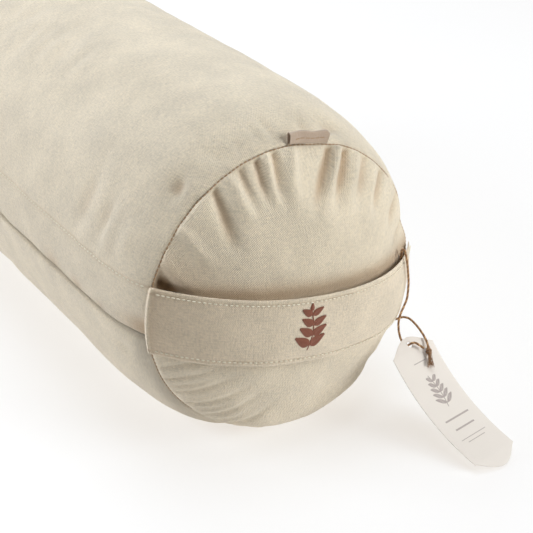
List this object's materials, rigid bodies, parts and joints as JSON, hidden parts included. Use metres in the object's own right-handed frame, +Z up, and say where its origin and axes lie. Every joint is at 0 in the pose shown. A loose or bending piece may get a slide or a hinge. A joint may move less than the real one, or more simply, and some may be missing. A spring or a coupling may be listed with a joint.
{
  "type": "bolster pillow",
  "caption": "Long round floor bolster in natural canvas with a stitched-on end handle, a flap-covered side zip, a folded label and a card tag on twine.",
  "frame": {"origin": "on the floor, under the middle of the bolster's length and width", "axes": "+Y along the bolster, away from the end that has the handle; +Z up; the zip is on the -X side"},
  "size_m": [0.2368, 0.7454, 0.2344],
  "materials": {
    "canvas": "undyed cotton canvas, fine plain weave",
    "strap": "undyed cotton webbing, matte",
    "thread": "cream sewing thread",
    "embroidery": "reddish brown satin stitch",
    "label": "woven cotton tape, matte",
    "zip_tape": "woven cream tape",
    "zip_coil": "cream nylon coil, satin",
    "zip_metal": "plated, satin",
    "inner_cloth": "bleached cotton",
    "fibre": "packed loose fibre",
    "card": "uncoated grey-pink card, matte",
    "twine": "brown twisted twine"
  },
  "bodies": {
    "cover": {"cover_barrel": "canvas", "cover_end_front": "canvas", "cover_end_rear": "canvas", "end_seam_thread_front": "thread", "end_seam_thread_rear": "thread", "placket_topstitch": "thread", "zip_tape_upper": "zip_tape", "zip_tape_lower": "zip_tape", "zip_coil_upper": "zip_coil", "zip_coil_lower": "zip_coil", "zip_bottom_stop": "zip_metal", "zip_top_stop_upper": "zip_metal", "zip_top_stop_lower": "zip_metal", "case_barrel": "inner_cloth", "case_end_front": "inner_cloth", "case_end_rear": "inner_cloth", "filling": "fibre"},
    "placket_flap": {"placket_flap": "canvas"},
    "zip_slider": {"zip_slider": "zip_metal"},
    "zip_pull": {"zip_pull": "zip_metal"},
    "carry_handle": {"handle_strap": "strap", "handle_topstitch_upper": "thread", "handle_topstitch_lower": "thread", "handle_embroidery": "embroidery", "twine_loop": "twine"},
    "fold_label": {"fold_label": "label"},
    "hang_tag": {"hang_tag": "card", "twine_long": "twine", "twine_short": "twine", "twine_knot": "twine"}
  },
  "joints": [
    {"name": "handle_pull", "type": "slide", "parent": "cover", "child": "carry_handle", "axis": [0, -1, 0], "range_m": [0, 0.02]},
    {"name": "flap_lift", "type": "hinge", "parent": "cover", "child": "placket_flap", "pos_m": [-0.11584, 0, 0.132], "axis": [0, 1, 0], "range_deg": [0, 60]},
    {"name": "slider_travel", "type": "slide", "parent": "cover", "child": "zip_slider", "axis": [0, -1, 0], "range_m": [0, 0.41]},
    {"name": "pull_flip", "type": "hinge", "parent": "zip_slider", "child": "zip_pull", "pos_m": [-0.11338, 0.21225, 0.115], "axis": [0, 0, -1], "range_deg": [0, 40]},
    {"name": "label_flip", "type": "hinge", "parent": "cover", "child": "fold_label", "pos_m": [0.01787, -0.27595, 0.20843], "axis": [0.9861, 0, -0.1659], "range_deg": [0, 70], "stiffness_Nm_per_rad": 0.0005},
    {"name": "tag_swing", "type": "hinge", "parent": "carry_handle", "child": "hang_tag", "pos_m": [0.0842, -0.30045, 0.1206], "axis": [-1, 0, 0], "range_deg": [0, 60]}
  ],
  "couplings": [
    {"joint": "pull_flip", "follows": "flap_lift", "ratio": 0.6}
  ]
}
